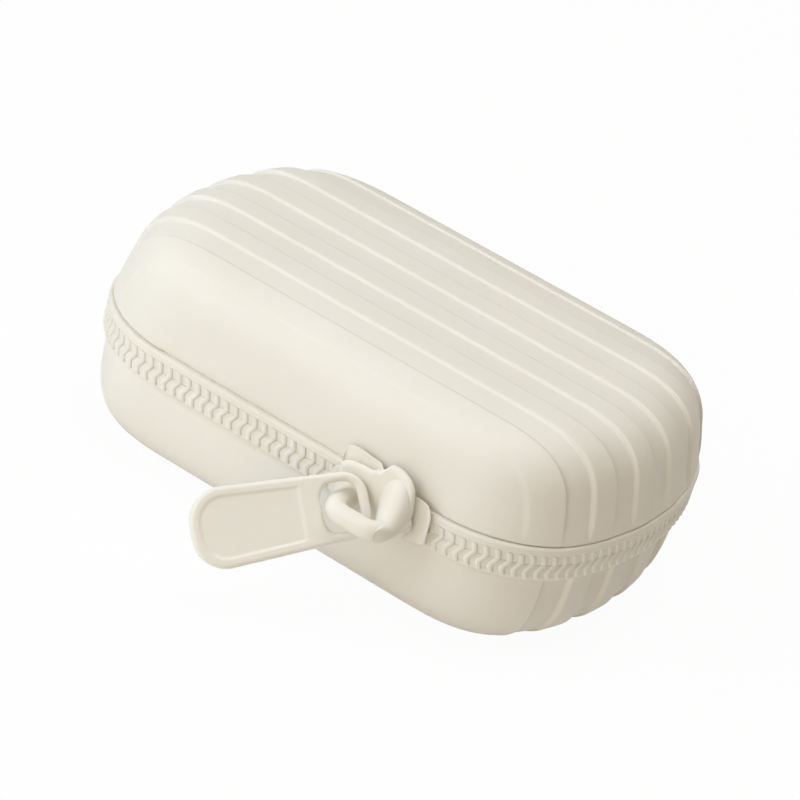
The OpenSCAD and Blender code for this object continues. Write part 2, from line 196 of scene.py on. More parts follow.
def groove(y):
    """1 in a groove, 0 on a raised strip, eased over the slope at each strip's edge."""
    total = np.zeros_like(y)
    for k in range(0, 9, 2):
        low, high = (k - 4.5) * RIB_W, (k - 3.5) * RIB_W
        total += smoothstep(y, low - RIB_SLOPE / 2, low + RIB_SLOPE / 2)
        total -= smoothstep(y, high - RIB_SLOPE / 2, high + RIB_SLOPE / 2)
    return total


def row_places():
    """y of every row of points on a shell: close together on the slopes of the strips, then round
    the corner of the plan, then by even steps of the crown's height."""
    width = HALF_W - SHELL_FACE
    slope = RIB_SLOPE * np.array([-0.8, -0.5, -0.35, -0.2, 0, 0.2, 0.35, 0.5, 0.8])
    inner = []
    for k in range(10):
        edge = (k - 4.5) * RIB_W
        inner += list(edge + slope)
        if k < 9:
            inner += list(edge + RIB_W * np.array([0.3, 0.5, 0.7]))
    start = math.asin((STRIP_REACH + 0.4 - CORNER_CY) / (width - CORNER_CY))
    turn = np.linspace(start, math.pi / 2, 22)[1:]
    by_angle = CORNER_CY + (width - CORNER_CY) * np.sin(turn)
    level = LID_H * np.concatenate([[0.01, 0.03], np.linspace(0.06, 0.9, 26)])
    by_level = width * (1 - (level / LID_H) ** CROWN_POWER) ** (1 / CROWN_POWER)
    side = np.concatenate([by_angle, by_level])
    side = side[np.abs(side - OUTER_EDGE) > RIB_SLOPE]
    side = np.unique(np.round(np.concatenate([side, OUTER_EDGE + slope]), 4))
    side = side[side > max(inner) + 0.05]
    return np.concatenate([-side[::-1], np.array(inner), side])


# Rows of a shell lie along X. Along a row, ANGLE climbs from the rim over the left end, stays at
# 90 degrees over the five middle points and goes down over the right end. SIDE goes from -1 to 1.
ROWS = row_places()
CLIMB = np.linspace(0, 1, 41) ** 2 * math.pi / 2
ANGLE = np.concatenate([CLIMB, np.full(5, math.pi / 2), CLIMB[::-1]])
SIDE = np.concatenate([-np.ones(41), np.linspace(-1, 1, 7)[1:-1], np.ones(41)])


def rows_at(inset):
    """The rows' places on a surface set in by inset: strips stay where they are, sides move in."""
    outer, inner = HALF_W - SHELL_FACE, HALF_W - inset
    y = np.abs(ROWS)
    scale = (inner - STRIP_REACH) / (outer - STRIP_REACH)
    moved = np.where(y > STRIP_REACH, STRIP_REACH + (y - STRIP_REACH) * scale, y)
    return np.sign(ROWS) * moved


def skin(inset, h, sink, reach, power, end_reach, end_power, tuck=0.0, flare=0.0):
    """Shell surface. A row at y has half length plan_x(y), less a groove's depth, and height
    h * rise((w - |y|) / reach), less sink in a groove. Beyond the outermost edge line the depth is
    0.4 of a groove's, and the sink 0.35 of it. Over an end the column angle a goes from 0 at the
    rim to 90 degrees: x = half - end_reach * (1 - cos(a)^(2 / end_power)) and
    z = height * sin(a)^(2 / end_power). The lowest 9 mm swell out by flare at the ends and by half
    of it at the sides, and there the end grooves fade out. The lowest 0.7 mm curls in by tuck."""
    y = rows_at(inset)[:, None] * np.ones(len(ANGLE))[None, :]
    g = groove(y)
    side = smoothstep(np.abs(y), OUTER_EDGE - RIB_SLOPE / 2, OUTER_EDGE + RIB_SLOPE / 2)
    top = (h - sink * (g + 0.35 * side)) * rise((HALF_W - inset - np.abs(y)) / reach, power)
    a = ANGLE[None, :]
    z = top * np.sin(a) ** (2 / end_power)
    shallow = smoothstep(z, -0.5, 4.0) if flare else 1.0
    half = plan_x(y, inset) - (g + SIDE_GROOVE * side * (sink > 0)) * RIB_DEPTH * shallow
    x = half - end_reach * (1 - np.maximum(np.cos(a), 0) ** (2 / end_power))
    swell = flare * (1 - smoothstep(z, 0.5, SWELL_H))
    x = x + swell * x / HALF_LEN
    y = y * (1 + 0.5 * swell / HALF_W)
    if tuck:
        low = np.clip(1 - z / 0.7, 0, 1)
        curl = tuck * (1 - np.sqrt(1 - low * low))
        x = x - curl * (x / HALF_LEN)
        y = y * (1 - curl / HALF_W)
    return np.stack([SIDE[None, :] * x, y, z], -1).reshape(-1, 3)


def rim_cells():
    """Row and column of each grid point round the rim, in order."""
    rows, cols = len(ROWS), len(ANGLE)
    cells = [(0, i) for i in range(cols)]
    cells += [(j, cols - 1) for j in range(1, rows)]
    cells += [(rows - 1, i) for i in range(cols - 2, -1, -1)]
    cells += [(j, 0) for j in range(rows - 2, 0, -1)]
    return np.array(cells)


def rim_loop(inset, z, end_reach, end_power):
    """A level loop round the plan that matches the rim point by point."""
    cells = rim_cells()
    y = rows_at(inset)[cells[:, 0]]
    a = ANGLE[cells[:, 1]]
    x = plan_x(y, inset) - end_reach * (1 - np.maximum(np.cos(a), 0) ** (2 / end_power))
    return np.stack([SIDE[cells[:, 1]] * x, y, np.full(len(y), z)], 1)


def shell(h, curves, inner_curves, sink, flare=0.0):
    """Outer skin, inner skin and the neck between them that laps behind the zip tape."""
    rows, cols = len(ROWS), len(ANGLE)
    n = rows * cols
    outer = skin(SHELL_FACE, h, sink, *curves, tuck=RIM_CURL, flare=flare)
    inner = skin(SHELL_FACE + WALL, h - WALL, RIB_DEPTH, *inner_curves)
    neck = [
        (0.05, -0.02), (0.05, -NECK_LAP + 0.15), (0.25, -NECK_LAP),
        (WALL - 0.25, -NECK_LAP), (WALL, -NECK_LAP + 0.25),
    ]
    loops = [rim_loop(TAPE_BACK + inset, z, *curves[2:]) for inset, z in neck]
    cells = rim_cells()
    rim = cells[:, 0] * cols + cells[:, 1]
    m = len(rim)
    chain = [rim] + [2 * n + k * m + np.arange(m) for k in range(len(loops))] + [n + rim]
    faces = [quads(rows, cols), quads(rows, cols, start=n)[:, ::-1]]
    for a, b in zip(chain[:-1], chain[1:]):
        faces.append(np.stack([a, b, np.roll(b, -1), np.roll(a, -1)], 1))
    return np.concatenate([outer, inner] + loops), np.concatenate(faces)


def rounded(corners):
    """Closed profile from corners [u, v, radius]: each corner becomes an arc that is tangent to
    its sides."""
    pts = []
    n = len(corners)
    for k in range(n):
        p = np.array(corners[k][:2], float)
        a = np.array(corners[k - 1][:2], float) - p
        b = np.array(corners[(k + 1) % n][:2], float) - p
        r = corners[k][2]
        a /= np.linalg.norm(a)
        b /= np.linalg.norm(b)
        half = math.acos(np.clip(a @ b, -1, 1)) / 2
        t0, t1 = p + a * r / math.tan(half), p + b * r / math.tan(half)
        mid = (a + b) / np.linalg.norm(a + b)
        centre = p + mid * r / math.sin(half)
        s = np.linspace(0, 1, 6)[:, None]
        c0, c1 = t0 - centre, t1 - centre
        span = math.acos(np.clip(c0 @ c1 / (r * r), -1, 1))
        arc = (np.sin((1 - s) * span) * c0 + np.sin(s * span) * c1) / math.sin(span)
        pts += list(centre + arc)
    return np.array(pts)


def round_the_case(profile):
    """Carries a closed profile of [depth, z] round the plan: each point is the outline set in by
    its depth."""
    points = np.array([np.insert(outline(depth), 2, z, axis=1) for depth, z in profile])
    return points.reshape(-1, 3), quads(points.shape[0], points.shape[1], True, True)


def along_band(s):
    """Place and direction on the band's outer line at arc length s from the front's middle."""
    t, flip = np.abs(s), np.where(s < 0, -1.0, 1.0)
    x, y, turn = np.copy(t), np.full_like(t, -HALF_W), np.zeros_like(t)
    arcs = [
        (CORNER_CX, -math.pi / 2, CORNER_R, CORNER_CX, -CORNER_CY),
        (CORNER_CX + ARC_CORNER, -END_ANGLE, END_R, END_CX, 0.0),
        (CORNER_CX + ARC_CORNER + ARC_END, END_ANGLE, CORNER_R, CORNER_CX, CORNER_CY),
    ]
    for start, first_angle, r, centre_x, centre_y in arcs:
        k = t > start
        a = first_angle + (t[k] - start) / r
        x[k], y[k], turn[k] = centre_x + r * np.cos(a), centre_y + r * np.sin(a), a + math.pi / 2
    k = t > CORNER_CX + 2 * ARC_CORNER + ARC_END
    x[k], y[k], turn[k] = HALF_ROUND - t[k], HALF_W, math.pi
    return x * flip, y, turn * flip


def on_band(s, shift, depth, z):
    """Points at arc length s, shifted along the band's direction there and set in by depth."""
    x, y, turn = along_band(s)
    return np.stack([
        x + shift * np.cos(turn) - depth * np.sin(turn),
        y + shift * np.sin(turn) + depth * np.cos(turn),
        z,
    ], -1)


# The rows of teeth end beside the end stops. Their roots lie this far above and below the zip's
# middle, and the lower row's backing strip starts higher than its bars.
TEETH_REACH = HALF_ROUND - WEB_LEN / 2 - STOP_LEN - 0.5
TEETH_EACH_WAY = int((TEETH_REACH - PITCH) / PITCH)
ROOT_UP, ROOT_DOWN, STRIP_DOWN = 2.07, 3.3, 2.46


def tooth_sway(z):
    """Sideways place of a tooth's middle line: a sine of 0.5 mm between z 20.1 and 22.1, and from
    there an eased way back by 0.4 mm. An upper and a lower tooth end to end make one wavy bar."""
    wave = 0.5 * np.sin(math.pi * (np.clip(z, 20.1, 22.1) - 21.1) / 2)
    return wave + 0.4 * smoothstep(20.1 - z, 0, 1.6) - 0.4 * smoothstep(z - 22.1, 0, 1.8)


def tooth_bars(way):
    """The bars of a row: a rounded section carried from root to head along tooth_sway. The lower
    ones end round over the lower bead, by a quarter circle of 0.55 mm. The heads draw back by
    0.98 mm round the slider's post."""
    root = MIDDLE_Z + (ROOT_UP if way > 0 else -ROOT_DOWN)
    places = np.arange(-TEETH_EACH_WAY, TEETH_EACH_WAY + 1) * PITCH
    near = 1 - smoothstep(np.abs(places - SLIDER_X), 2.6, 4.2)
    head = MIDDLE_Z + way * (0.02 + 0.98 * near)
    t = np.array([0, 0.04, 0.1, 0.2, 0.3, 0.4, 0.5, 0.6, 0.7, 0.8, 0.9, 1.0])
    z = root + (head[:, None] - root) * t[None, :]
    from_end = np.clip(np.abs(z - root) / 0.55, 0, 1) if way < 0 else np.ones_like(z)
    width = 2 * TOOTH_HALF_W * np.sqrt(1 - (1 - from_end) ** 2) + 0.02
    crown = 0.3 * (1 - from_end) ** 2
    half_section = np.array([[0.18, 0.06], [0.4, 0.15], [0.5, 0.27], [TOOTH_HALF_W, TOOTH_BACK]])
    section = np.concatenate([half_section[::-1] * [-1, 1], half_section])
    n, rows, cols = len(places), len(t), len(section)
    shift = tooth_sway(z)[:, :, None] + width[:, :, None] * section[None, None, :, 0]
    depth = np.minimum(section[None, None, :, 1] + crown[:, :, None], TOOTH_BACK)
    shift, depth, s, z = np.broadcast_arrays(shift, depth, places[:, None, None], z[:, :, None])
    bars = on_band(s, shift, depth, z).reshape(n, rows * cols, 3)
    one = np.concatenate([quads(rows, cols, wrap_cols=True)] + end_fans(rows, cols))
    one = facing_out(bars[n // 2], one)
    faces = one[None] + (np.arange(n) * rows * cols)[:, None, None]
    return bars.reshape(-1, 3), faces.reshape(-1, 4)


def tooth_backing(way):
    """The thin strip that the bars of a row stand on, from the tape to the middle of the zip. It
    draws back by 1 mm round the slider's post."""
    s = np.linspace(-TEETH_REACH, TEETH_REACH, 700)
    away = 1 - smoothstep(np.abs(s - SLIDER_X), 2.2, 4.0)
    edge = MIDDLE_Z + way * (0.03 + 1.0 * away)
    soft_edge = edge + way * 0.06
    foot = np.full_like(s, MIDDLE_Z + (ROOT_UP if way > 0 else -STRIP_DOWN))
    section = [
        (0.65, foot), (TEETH_FACE, foot), (TEETH_FACE, soft_edge), (0.44, edge),
        (0.6, edge), (0.65, soft_edge),
    ]
    strip = np.array([on_band(s, 0.0, np.full_like(s, depth), z) for depth, z in section])
    m = strip.shape[1]
    faces = [quads(6, m, wrap_rows=True)]
    for i in (0, m - 1):
        c = np.arange(6) * m + i
        caps = np.array([[c[0], c[1], c[2], c[3]], [c[0], c[3], c[4], c[5]]])
        faces.append(caps if i else caps[:, ::-1])
    return strip.reshape(-1, 3), np.concatenate(faces)


def capped_rings(rings):
    """Rings of equal length joined in order. At each end the ring is drawn in to its own middle,
    to a half and to a fiftieth, and the last small one is closed."""
    rings = np.asarray(rings)
    first, last = rings[0].mean(0), rings[-1].mean(0)
    start = [first + (rings[0] - first) * scale for scale in (0.02, 0.5)]
    finish = [last + (rings[-1] - last) * scale for scale in (0.5, 0.02)]
    all_rings = np.concatenate([start, rings, finish])
    rows, cols = all_rings.shape[:2]
    faces = [quads(rows, cols, wrap_cols=True)] + end_fans(rows, cols)
    return all_rings.reshape(-1, 3), np.concatenate(faces)


def tube(path, radius):
    """Round bar carried along a level path. The ring at each point lies in the plane of the level
    direction square to the tangent and of +Z."""
    tangent = np.gradient(path, axis=0)
    tangent /= np.linalg.norm(tangent, axis=1)[:, None]
    across = np.cross(tangent, [0.0, 0.0, 1.0])
    across /= np.linalg.norm(across, axis=1)[:, None]
    up = np.cross(across, tangent)
    a = turns(32)[None, :, None]
    ring = np.cos(a) * across[:, None, :] + np.sin(a) * up[:, None, :]
    return path[:, None, :] + ring * radius[:, None, None]


def srgb(*values):
    """Linear colour from 0-255 values as a paint chart gives them."""
    c = np.array(values) / 255
    return tuple(np.where(c <= 0.04045, c / 12.92, ((c + 0.055) / 1.055) ** 2.4)) + (1.0,)


def moulded(name, colour, deeper, rough, grain=0.12, soft=0.12):
    """Matt moulded silicone or plastic: cloudy tone, fine grain, a soft sheen and a slight glow
    inside."""
    m = bpy.data.materials.new(name)
    m.use_nodes = True
    nt = m.node_tree
    bsdf = nt.nodes["Principled BSDF"]
    place = nt.nodes.new("ShaderNodeTexCoord")
    cloud = nt.nodes.new("ShaderNodeTexNoise")
    cloud.inputs["Scale"].default_value = 45
    cloud.inputs["Detail"].default_value = 4
    fine = nt.nodes.new("ShaderNodeTexNoise")
    fine.inputs["Scale"].default_value = 1500
    fine.inputs["Detail"].default_value = 3
    ramp = nt.nodes.new("ShaderNodeValToRGB")
    ramp.color_ramp.elements[0].position = 0.3
    ramp.color_ramp.elements[0].color = deeper
    ramp.color_ramp.elements[1].position = 0.7
    ramp.color_ramp.elements[1].color = colour
    gloss = nt.nodes.new("ShaderNodeMapRange")
    gloss.inputs["To Min"].default_value = rough - 0.06
    gloss.inputs["To Max"].default_value = rough + 0.06
    bump = nt.nodes.new("ShaderNodeBump")
    bump.inputs["Strength"].default_value = grain
    bump.inputs["Distance"].default_value = 0.00006
    link = nt.links.new
    link(place.outputs["Object"], cloud.inputs["Vector"])
    link(place.outputs["Object"], fine.inputs["Vector"])
    link(cloud.outputs["Fac"], ramp.inputs["Fac"])
    link(ramp.outputs["Color"], bsdf.inputs["Base Color"])
    link(fine.outputs["Fac"], gloss.inputs["Value"])
    link(gloss.outputs["Result"], bsdf.inputs["Roughness"])
    link(fine.outputs["Fac"], bump.inputs["Height"])
    link(bump.outputs["Normal"], bsdf.inputs["Normal"])
    bsdf.inputs["Subsurface Weight"].default_value = soft
    bsdf.inputs["Subsurface Radius"].default_value = (1.0, 0.75, 0.5)
    bsdf.inputs["Subsurface Scale"].default_value = 0.0015
    bsdf.inputs["Specular IOR Level"].default_value = 0.35
    return m


silicone = moulded("ivory_silicone", srgb(239, 235, 226), srgb(236, 232, 222), 0.56)
band_silicone = moulded(
    "ivory_band_silicone", srgb(239, 235, 225), srgb(236, 231, 220), 0.54)
tooth_plastic = moulded(
    "ivory_teeth", srgb(240, 236, 226), srgb(236, 231, 219), 0.46, grain=0.05, soft=0.08)
slider_plastic = moulded(
    "ivory_slider", srgb(240, 236, 226), srgb(237, 232, 221), 0.42, grain=0.06, soft=0.08)
tab_silicone = moulded("ivory_tab", srgb(241, 238, 229), srgb(238, 234, 225), 0.5)


# Shells: reach and power of the curve over the sides, then of the one over the ends
half_w = HALF_W - SHELL_FACE
crown = (half_w, CROWN_POWER, LID_REACH, LID_POWER)
crown_inside = (half_w - WALL, CROWN_POWER, LID_REACH - WALL, LID_POWER)
points, faces = shell(LID_H - LIFT, crown, crown_inside, TOP_GROOVE, flare=RIM_SWELL)
lid = piece("lid_skin", points + [0, 0, BAND_TOP + LIFT], faces, silicone, sharp=60)
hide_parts("lid_shell")
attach(lid, "lid")

foot = (FOOT_REACH, FOOT_POWER, FOOT_END_REACH, FOOT_POWER)
foot_inside = (FOOT_REACH - WALL, FOOT_POWER, FOOT_END_REACH - WALL, FOOT_POWER)
points, faces = shell(BASE_H, foot, foot_inside, 0.0)
points = points * [1, 1, -1] + [0, 0, BAND_BOTTOM]
base = piece("base_skin", points, faces, silicone, sharp=60)
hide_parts("base_shell")
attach(base, "base")

# Zip bands: corners as depth behind the outer line, z and radius
upper_corners = [
    (TAPE_BACK, BAND_TOP, 0.1), (TAPE_BACK, UPPER_TAPE_EDGE, 0.3),
    (TAPE_FACE, UPPER_TAPE_EDGE, 0.3), (TAPE_FACE, UPPER_BEAD_EDGE, 0.12),
    (0.0, UPPER_BEAD_EDGE, 0.22), (0.0, BAND_TOP, 0.55),
]
points, faces = round_the_case(rounded(upper_corners))
lid_band = piece("lid_band", points, faces, band_silicone, sharp=60)
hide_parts("lid_tape")
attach(lid_band, "lid")

lower_corners = [
    (TAPE_BACK, BAND_BOTTOM, 0.1), (TAPE_BACK, LOWER_TAPE_EDGE, 0.3),
    (TAPE_FACE, LOWER_TAPE_EDGE, 0.3), (TAPE_FACE, LOWER_BEAD_EDGE, 0.1),
    (LOWER_BEAD_FACE, LOWER_BEAD_EDGE, 0.1), (LOWER_BEAD_FACE, BAND_BOTTOM, 0.4),
]
points, faces = round_the_case(rounded(lower_corners))
base_band = piece("base_band", points, faces, band_silicone, sharp=60)
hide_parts("base_tape")
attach(base_band, "base")

for name, node, body, way in (
    ("upper_tooth_row", "lid_teeth", "lid", 1),
    ("lower_tooth_row", "base_teeth", "base", -1),
):
    points, faces = joined(tooth_bars(way), tooth_backing(way))
    row = piece(name, points, faces, tooth_plastic, sharp=60)
    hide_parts(node)
    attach(row, body)


def plate_outline():
    """Front plate seen from the front: a rounded box |x/a|^4 + |z/b|^4 = 1. The left half of the
    top is 1.7 mm lower than the right one, and a bell curve draws in the bottom and the step
    between them."""
    a = turns(240)
    c, s = np.cos(a), np.sin(a)
    r = (np.abs(c) ** 4 + np.abs(s) ** 4) ** -0.25
    x, z = r * c * SLIDER_LEN / 2, r * s * SLIDER_H / 2
    upper = smoothstep(z, 1.0, 5.0)
    z = z + upper * (0.35 - 1.7 * (1 - smoothstep(x, -0.8, 1.8)))
    z = z - upper * 0.8 * np.exp(-((x - 0.1) / 1.1) ** 2)
    z = z + (z < -4) * 0.7 * np.exp(-((x + 0.2) / 2.0) ** 2)
    return np.stack([x, z], 1)


def slider_plate():
    """Rings of the plate's outline, each with its scale and its distance out from the band: up the
    back, round the edge by a quarter circle, and over the flat face. At the top left the back half
    is a wing that leans 1.1 mm towards the lid, and a slot parts it from the front half, which
    ends 1.3 mm lower. The wing reaches 1.5 mm farther left. The right end turns out by up to
    1.2 mm."""
    flat = plate_outline()
    rings = []
    levels = [
        (0.5, 0.95), (0.92, 0.95), (0.975, 1.0), (1.0, 1.12), (1.0, 1.25), (0.995, 1.36),
        (0.98, 1.42), (0.975, 1.48), (0.975, 1.54), (0.98, 1.6), (0.995, 1.66),
    ]
    quarter = np.linspace(0.1, math.pi / 2, 10)
    levels += [(1.0 - 0.15 * (1 - math.cos(q)), 1.66 + 0.84 * math.sin(q)) for q in quarter]
    levels += [(0.7, 2.5), (0.45, 2.5), (0.2, 2.5)]
    for scale, out in levels:
        x, z = flat[:, 0] * scale, flat[:, 1] * scale
        left = (1 - smoothstep(x, -1.9, -0.5)) * smoothstep(x, -8.6, -7.4)
        left = left * smoothstep(z, 2.2, 4.2)
        slot = float(smoothstep(out, 1.4, 1.5) * (1 - smoothstep(out, 1.52, 1.62)))
        front = float(smoothstep(out, 1.5, 1.6))
        lean = 1.1 * smoothstep(z, 1.2, 4.6) * (1 - smoothstep(x, -1.5, 0.5)) * (1 - front)
        wing = smoothstep(-x, 2.0, 7.0) * smoothstep(z, 1.0, 4.5) * (1 - 0.55 * front)
        z = z - left * (2.9 * slot + 1.3 * front * (1 - slot)) + 0.9 * wing * (1 - front)
        flare = 1.2 * smoothstep(x, 3.0, 8.5) * (0.55 + 0.45 * smoothstep(z, -3.0, 3.0))
        flare = flare * (1 - 0.3 * front)
        x, y = SLIDER_X + x - 1.5 * wing, -HALF_W - out - flare + lean
        rings.append(np.stack([x, y, MIDDLE_Z + SLIDER_RISE + z], 1))
    return capped_rings(rings)


def collar():
    """Thin plate that runs on the band behind the front plate: a rounded box |x/a|^5 + |z/b|^5 = 1
    with a rolled edge. Its right end stands 2 mm higher, and its right lip turns out by 0.8 mm.
    Each ring has its scale and its distance out from the band."""
    a = turns(200)
    r = (np.abs(np.cos(a)) ** 5 + np.abs(np.sin(a)) ** 5) ** -0.2
    x, z = r * np.cos(a) * (SLIDER_LEN + 5.8) / 2, r * np.sin(a) * 3.7
    z = z + 2.0 * smoothstep(x, 3.0, 7.5) * smoothstep(z, 0.5, 3.5)
    rings = []
    for scale, out in (
        (0.5, 0.3), (0.8, 0.3), (0.86, 0.3), (0.92, 0.3), (0.97, 0.32), (0.99, 0.36), (1.0, 0.46),
        (1.0, 0.56), (0.99, 0.64), (0.97, 0.68), (0.92, 0.7), (0.86, 0.7), (0.8, 0.7), (0.5, 0.7),
    ):
        u, w = x * scale, z * scale
        lip = 0.8 * smoothstep(u, 9.3, 11.0) * (0.3 + 0.7 * smoothstep(w, -3.4, 0.0))
        rings.append(np.stack([SLIDER_X + 0.9 + u, -HALF_W - out - lip, MIDDLE_Z + w], 1))
    return capped_rings(rings)


def block(size, centre, radius):
    """Rounded block as rings along y: outline |x/a|^6 + |z/b|^6 = 1, drawn in at both faces by a
    quarter circle."""
    a = turns(64)
    r = (np.abs(np.cos(a)) ** 6 + np.abs(np.sin(a)) ** 6) ** (-1 / 6)
    rings = []
    quarter = np.linspace(0, math.pi / 2, 4)
    low, high = -size[1] / 2, size[1] / 2
    steps = [(radius * (1 - math.sin(q)), low + radius * (1 - math.cos(q))) for q in quarter]
    steps += [(radius * (1 - math.cos(q)), high - radius * (1 - math.sin(q))) for q in quarter]
    for inset, y in steps:
        x = r * np.cos(a) * (size[0] / 2 - inset)
        z = r * np.sin(a) * (size[2] / 2 - inset)
        rings.append(np.stack([x + centre[0], np.full_like(x, y + centre[1]), z + centre[2]], 1))
    return capped_rings(rings)


post = block((3.2, 3.6, 1.3), (SLIDER_X, -HALF_W + 1.0, MIDDLE_Z), 0.15)
inner_plate = block((SLIDER_LEN - 1.8, 1.1, 4.4), (SLIDER_X, -HALF_W + 2.6, MIDDLE_Z), 0.3)
points, faces = joined(slider_plate(), collar(), post, inner_plate)
slider = piece("slider", points, faces, slider_plastic, sharp=50)
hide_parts("slider_body")
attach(slider, "slider")


def arch_path():
    """Middle line of the arch and its distance out from the plate: straight out, round a quarter
    circle, along the zip, round the second quarter circle and back."""
    left, straight = -ARCH_LEN / 2, ARCH_OUT - ARCH_R
    a = np.linspace(0, math.pi / 2, 14)[1:]
    leg = np.linspace(-0.8, straight, 10)
    x = np.concatenate([np.full(10, left), left + ARCH_R - ARCH_R * np.cos(a)])
    out = np.concatenate([leg, straight + ARCH_R * np.sin(a)])
    x, out = np.concatenate([x, -x[::-1]]), np.concatenate([out, out[::-1]])
    return np.column_stack([ARCH_X + x, PLATE_FACE - out, np.full(len(x), MIDDLE_Z)]), out


def arch_root():
    """Root of the arch's right leg, as rings out from the plate: |u/a|^2.2 + |w/b|^2.2 = 1. Its
    left side runs from the plate's middle out to the bend, its right side follows the outer circle
    of the bend, its top falls by a smoothstep from the plate's shoulder to the bar's, and its end
    is round."""
    turn = 6.0 + 2.7 * np.sin(np.linspace(0.1, 1.5, 12))
    out = np.concatenate([np.linspace(-0.9, 6.0, 30), turn])
    close = np.sqrt(1 - np.clip((out - 6.0) / 2.75, 0, 1) ** 2)
    fall = smoothstep(out, -0.6, 5.6)
    inner, outer = ARCH_LEN / 2 - ARCH_R, ARCH_R + BAR_D / 2
    bend = np.sqrt(np.maximum(outer ** 2 - np.maximum(out - (ARCH_OUT - ARCH_R), 0) ** 2, 1.0))
    left, right = 1.5 + 0.6 * out, ARCH_X - SLIDER_X + inner + bend
    half, middle = (right - left) / 2 * close, (right + left) / 2
    tall, centre = (6.2 - 4.22 * fall) * close, 0.1 - 2.3 * fall
    a = turns(96)
    c, s = np.cos(a), np.sin(a)
    r = (np.abs(c) ** 2.2 + np.abs(s) ** 2.2) ** (-1 / 2.2)
    x = SLIDER_X + middle[:, None] + half[:, None] * (r * c)[None]
    z = MIDDLE_Z + SLIDER_RISE + centre[:, None] + tall[:, None] * (r * s)[None]
    y = np.broadcast_to((PLATE_FACE - out)[:, None], x.shape)
    return capped_rings(np.stack([x, y, z], -1))


path, out = arch_path()
radius = BAR_D / 2 * (1 + 0.3 * (1 - smoothstep(out, -0.4, 2.6)))
points, faces = joined(capped_rings(tube(path, radius)), arch_root())
arch = piece("pull_arch", points, faces, slider_plastic, sharp=60)
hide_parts("slider_bridge")
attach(arch, "slider")


def tab_outline():
    """Outline of the tab from the eye's middle: the hull of two corner circles at the free end and
    two at the eye, as the farthest reach of the four circles in each direction of the normal."""
    a = turns(4000)
    end, side = TAB_LEN - TAB_R, TAB_W / 2 - TAB_R
    eye, eye_side = EYE_R - EYE_REACH, EYE_W / 2 - EYE_R
    centres = np.array([[end, side], [end, -side], [eye, eye_side], [eye, -eye_side]])
    radii = np.array([TAB_R, TAB_R, EYE_R, EYE_R])
    normal = np.stack([np.cos(a), np.sin(a)], 1)
    best = (normal @ centres.T + radii).argmax(1)
    return centres[best] + normal * radii[best][:, None]


def hole_outline(angle):
    """The eye's hole at each angle: where the ray from its middle meets a rectangle with round
    corners, |x/a|^3.2 + |y/b|^3.2 = 1."""
    c, s = np.cos(angle), np.sin(angle)
    r = (np.abs(c / (HOLE_LEN / 2)) ** 3.2 + np.abs(s / (HOLE_W / 2)) ** 3.2) ** (-1 / 3.2)
    return np.stack([r * c, r * s], 1)


def even(points, count):
    """The closed outline sampled evenly by length, from its farthest point along -X."""
    closed = np.concatenate([points, points[:1]])
    lengths = np.concatenate([[0], np.cumsum(np.linalg.norm(np.diff(closed, axis=0), axis=1))])
    s = np.linspace(0, lengths[-1], count, endpoint=False)
    out = np.stack([np.interp(s, lengths, closed[:, 0]), np.interp(s, lengths, closed[:, 1])], 1)
    off_left = np.abs(np.arctan2(out[:, 1], -out[:, 0]))
    return np.roll(out, -np.argmin(off_left), axis=0)


def nearest(points, line):
    """Distance from each point to a densely sampled line."""
    out = np.empty(len(points))
    for k in range(0, len(points), 2000):
        d = points[k:k + 2000, None, :] - line[None, :, :]
        out[k:k + 2000] = np.sqrt((d * d).sum(-1).min(1))
    return out


def pull_tab():
    """Both faces of the tab as grids between the hole and the outline. Half thickness falls by a
    quarter circle at each edge, and the panel is sunk where a point is more than the rim's width
    from the outline and beyond the eye."""
    count, across = 220, 84
    outer = even(tab_outline(), count)
    outer_angle = np.unwrap(np.arctan2(outer[:, 1], outer[:, 0]))
    outer_angle = outer_angle - outer_angle[0] + math.pi
    hole = hole_outline(0.6 * (math.pi + turns(count)) + 0.4 * outer_angle)
    v = np.linspace(0, 1, across)
    v = 0.5 * v + 0.5 * (3 * v * v - 2 * v ** 3)
    flat = hole[None] * (1 - v)[:, None, None] + outer[None] * v[:, None, None]
    xy = flat.reshape(-1, 2)
    d_out = nearest(xy, even(tab_outline(), 2600))
    d_hole = nearest(xy, hole_outline(turns(900)))
    past_edge = np.maximum(TAB_EDGE - np.minimum(d_out, d_hole), 0)
    half = TAB_T / 2 - TAB_EDGE + np.sqrt(np.maximum(TAB_EDGE ** 2 - past_edge ** 2, 0))
    start = HOLE_LEN / 2 + 2 * TAB_RIM
    panel = smoothstep(d_out, TAB_RIM - 0.4, TAB_RIM + 0.3)
    panel = panel * smoothstep(xy[:, 0], start - 0.5, start + 0.5)
    half = half - PANEL_DEPTH * panel
    top = np.column_stack([xy, half]).reshape(across, count, 3)
    points = np.concatenate([top, top[::-1] * [1, 1, -1]]).reshape(-1, 3)
    turn = Matrix.Identity(3)
    for degrees, axis in ((TAB_YAW, "Z"), (TAB_DROOP, "Y"), (TAB_ROLL, "X")):
        turn = turn @ Matrix.Rotation(math.radians(degrees), 3, axis)
    points = points @ np.array(turn).T + EYE
    return points, quads(2 * across, count, True, True)


points, faces = pull_tab()
tab = piece("tab", points, faces, tab_silicone, sharp=60)
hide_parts("pull_tab")
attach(tab, "tab")


